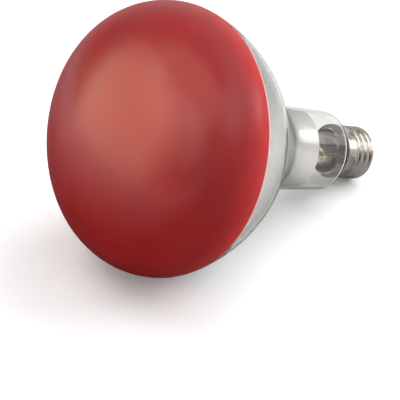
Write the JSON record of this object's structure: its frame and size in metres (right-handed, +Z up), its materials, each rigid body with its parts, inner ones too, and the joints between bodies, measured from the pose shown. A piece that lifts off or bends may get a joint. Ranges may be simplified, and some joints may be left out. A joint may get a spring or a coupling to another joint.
{
  "type": "infrared heat lamp bulb",
  "caption": "Infrared heat lamp: a blown reflector bulb with a satin red face, silvered back and clear neck, on a nickel screw cap, lying on its side.",
  "frame": {"origin": "on the floor, under the centre of the box of the lamp as it lies on its reflector and on the end of its cap", "axes": "+Z up, +Y along the lamp from its face to its cap, +X to its side; the lamp's own axis dips 22 degrees towards the cap"},
  "size_m": [0.125, 0.1694, 0.1204],
  "materials": {
    "bulb_glass": "satin red lacquer on the face, silvered reflector, clear neck",
    "clear_glass": "clear drawn glass",
    "tungsten": "coiled tungsten wire",
    "nickel_wire": "drawn nickel wire",
    "hook_wire": "drawn molybdenum wire",
    "copper_wire": "drawn copper wire",
    "nickel_shell": "nickel-plated rolled sheet",
    "cement": "baked brown basing cement",
    "black_glass": "pressed black glass",
    "contact_brass": "stamped brass",
    "solder": "tin solder"
  },
  "bodies": {
    "root": {"glass_bulb": "bulb_glass", "stem_glass": "clear_glass", "exhaust_tube": "clear_glass", "support_rod": "clear_glass", "filament": "tungsten", "post_side": "nickel_wire", "post_centre": "nickel_wire", "hook_1": "hook_wire", "hook_2": "hook_wire", "hook_3": "hook_wire", "hook_4": "hook_wire", "lead_side": "copper_wire", "lead_centre": "copper_wire", "cap_shell": "nickel_shell", "basing_cement": "cement", "cap_insulator": "black_glass", "centre_contact": "contact_brass", "centre_solder": "solder", "side_solder": "solder"}
  },
  "joints": []
}
